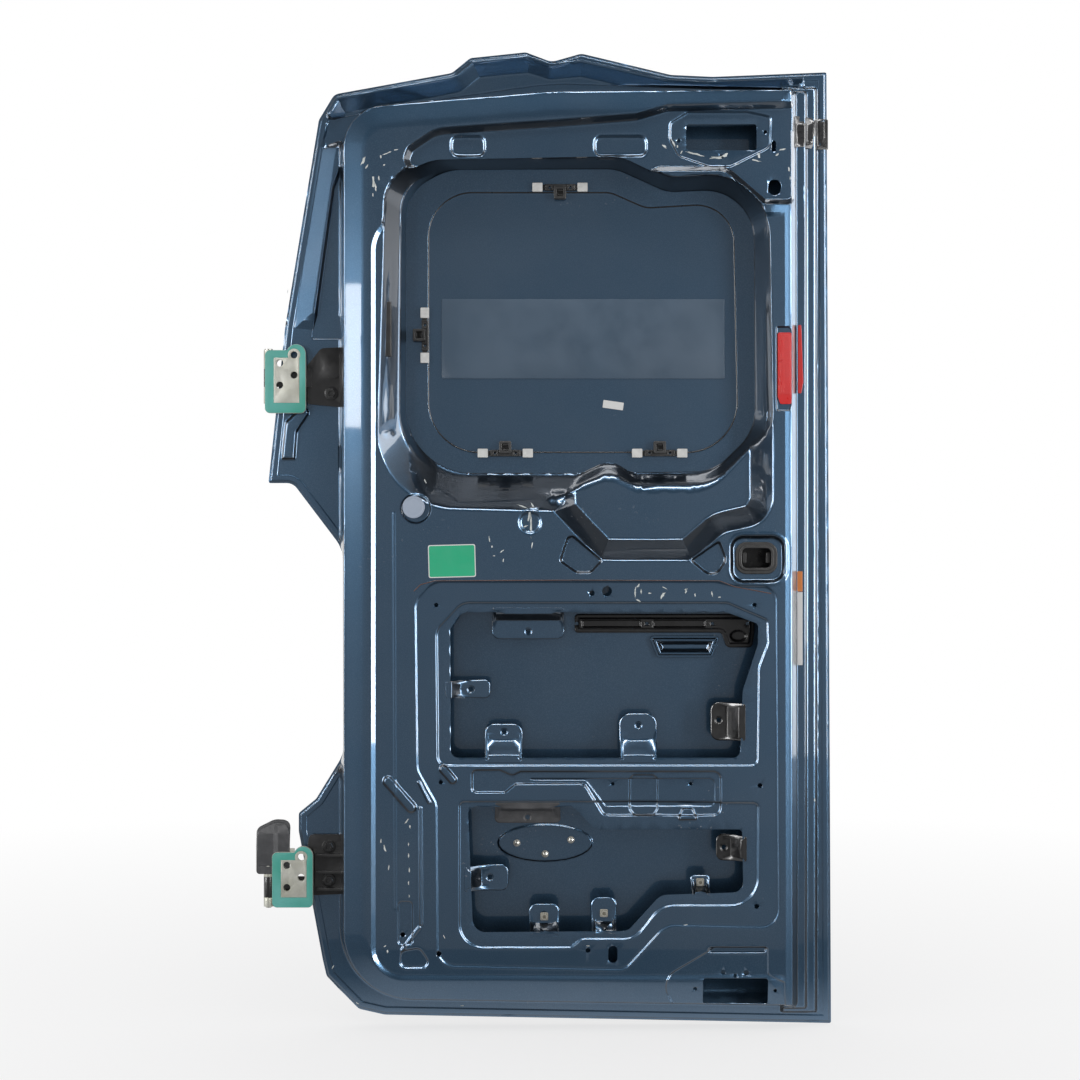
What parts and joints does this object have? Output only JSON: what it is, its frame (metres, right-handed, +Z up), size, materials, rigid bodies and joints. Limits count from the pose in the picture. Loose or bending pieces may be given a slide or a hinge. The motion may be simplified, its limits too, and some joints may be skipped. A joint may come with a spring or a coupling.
{
  "type": "van rear barn door",
  "caption": "Left-hung rear barn door of a van: a pressed inner panel with service openings over a smooth outer skin, on hinges.",
  "frame": {"origin": "middle of the lower hinge leaf's mounting face", "axes": "+X from the hinges to the lock side, +Y from the inside of the van outwards, +Z up"},
  "size_m": [0.886, 0.085, 1.5007],
  "materials": {
    "door_paint": "glossy metallic dark blue",
    "arm_black": "satin black over steel",
    "leaf_steel": "bare steel with a thin coat round the edge",
    "pin_steel": "plated steel",
    "gasket_teal": "matt green-blue gasket",
    "cap_grey": "grained dark grey",
    "clip_black": "moulded black",
    "pad_white": "pale foam",
    "damping_blue": "painted damping sheet",
    "plug_blue": "pale blue-grey plug",
    "reflector_red": "red prismatic reflector",
    "nut_white": "pale plastic"
  },
  "bodies": {
    "van_side": {"upper_hinge_leaf": "leaf_steel", "lower_hinge_leaf": "leaf_steel", "upper_hinge_gasket": "gasket_teal", "lower_hinge_gasket": "gasket_teal", "upper_hinge_pin": "pin_steel", "lower_hinge_pin": "pin_steel", "lower_hinge_cover": "cap_grey"},
    "door": {"outer_skin": "door_paint", "inner_panel": "door_paint", "upper_hinge_arm": "arm_black", "lower_hinge_arm": "arm_black", "upper_arm_bolts": "arm_black", "lower_arm_bolts": "arm_black", "damping_pad": "damping_blue", "trim_clips": "clip_black", "clip_pads": "pad_white", "side_wall_clip": "clip_black", "round_plug": "plug_blue", "release_bezel": "clip_black", "red_reflector": "reflector_red", "handle_reinforcement": "arm_black", "handle_cup": "door_paint", "upper_left_bracket": "door_paint", "upper_lower_left_bracket": "door_paint", "upper_lower_mid_bracket": "door_paint", "upper_right_bracket": "arm_black", "upper_top_plate": "arm_black", "badge_studs": "pin_steel", "lower_left_bracket": "door_paint", "lower_top_bracket": "arm_black", "lower_foot_brackets": "door_paint", "lower_right_bracket": "arm_black", "clip_nuts": "nut_white"}
  },
  "joints": [
    {"name": "door_swing", "type": "hinge", "parent": "van_side", "child": "door", "pos_m": [-0.036, 0.0095, 0], "axis": [0, 0, 1], "range_deg": [0, 180]}
  ]
}
